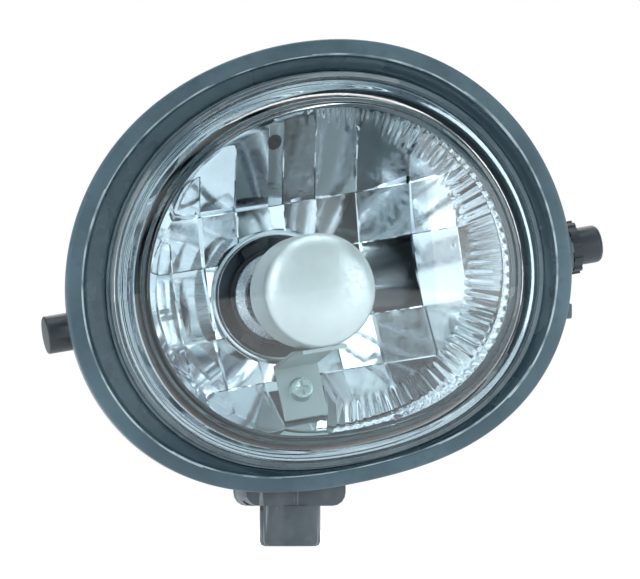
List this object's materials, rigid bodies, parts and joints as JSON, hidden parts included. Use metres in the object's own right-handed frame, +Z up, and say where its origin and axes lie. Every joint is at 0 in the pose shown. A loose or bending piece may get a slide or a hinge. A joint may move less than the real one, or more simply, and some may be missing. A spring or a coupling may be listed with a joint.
{
  "type": "fog light",
  "caption": "Egg-rimmed vehicle fog light with a clear lens, glare cap, twist-lock bulb, side pivot bushes and a screw-driven aim adjuster.",
  "frame": {"origin": "where the beam's axis crosses the line through the two pivot pins", "axes": "the beam leaves along -Y, +Z is up along the aim drive shaft, +X is to the right seen from the front"},
  "size_m": [0.1276, 0.0797, 0.1125],
  "materials": {
    "housing_plastic": "moulded, slightly dusty",
    "clear_lens": "clear, polished",
    "sealant": "matt bead",
    "reflector_chrome": "bright mirror coat",
    "satin_cap": "satin",
    "satin_strap": "satin",
    "zinc_screw": "zinc plated",
    "pin_steel": "machined",
    "bush_rubber": "semi-matt",
    "case_plastic": "rough, scratched",
    "gear_plastic": "natural acetal",
    "seal_rubber": "matt",
    "socket_plastic": "glass-filled",
    "bulb_glass": "clear",
    "tungsten": "drawn wire",
    "collar_metal": "stamped",
    "bulb_plastic": "moulded",
    "ring_silicone": "matt",
    "terminal_brass": "tinned edges",
    "membrane": "felt-like"
  },
  "bodies": {
    "lamp": {"housing": "housing_plastic", "lens": "clear_lens", "lens_seal": "sealant", "reflector": "reflector_chrome", "reflector_screws": "zinc_screw", "glare_cap": "satin_cap", "cap_strap": "satin_strap", "strap_screw": "zinc_screw", "left_pin": "pin_steel", "right_pin": "pin_steel", "gear_case": "case_plastic", "gear_cover": "case_plastic", "case_screws": "zinc_screw", "cover_screws": "zinc_screw", "drive_seal": "seal_rubber", "aim_seal": "seal_rubber", "bulb_socket": "socket_plastic", "breather_cap": "seal_rubber", "breather_disc": "membrane"},
    "left_bush": {"left_bush": "bush_rubber"},
    "right_bush": {"right_bush": "bush_rubber"},
    "drive": {"drive_shaft": "pin_steel", "drive_pinion": "gear_plastic"},
    "nut": {"gear_nut": "gear_plastic"},
    "aim": {"aim_screw": "pin_steel", "aim_key": "gear_plastic"},
    "bulb": {"bulb_glass": "bulb_glass", "bulb_filament": "tungsten", "bulb_wires": "tungsten", "bulb_collar": "collar_metal", "bulb_base": "bulb_plastic", "bulb_seal": "ring_silicone", "bulb_terminals": "terminal_brass"}
  },
  "joints": [
    {"name": "left_bush_turn", "type": "hinge", "parent": "lamp", "child": "left_bush", "pos_m": [-0.05199, 0, -0.00889], "axis": [0.9857, 0, 0.1685], "range_deg": [-8, 8]},
    {"name": "right_bush_turn", "type": "hinge", "parent": "lamp", "child": "right_bush", "pos_m": [0.06738, 0, 0.01152], "axis": [0.9857, 0, 0.1685], "range_deg": [-8, 8]},
    {"name": "drive_turn", "type": "hinge", "parent": "lamp", "child": "drive", "pos_m": [0, 0.0016, -0.05], "axis": [0, 0, 1], "range_deg": [-961, 961]},
    {"name": "nut_turn", "type": "hinge", "parent": "lamp", "child": "nut", "pos_m": [0, 0.005, -0.04113], "axis": [0, 1, 0], "range_deg": [-961, 961]},
    {"name": "aim_slide", "type": "slide", "parent": "lamp", "child": "aim", "axis": [0, 1, 0], "range_m": [-0.004, 0.004]},
    {"name": "bulb_turn", "type": "hinge", "parent": "lamp", "child": "bulb", "pos_m": [0, 0.02, 0], "axis": [0, 1, 0], "range_deg": [0, 35]}
  ],
  "couplings": [
    {"joint": "nut_turn", "follows": "aim_slide", "rad_per_m": -4188.8},
    {"joint": "drive_turn", "follows": "aim_slide", "rad_per_m": -4188.8}
  ]
}
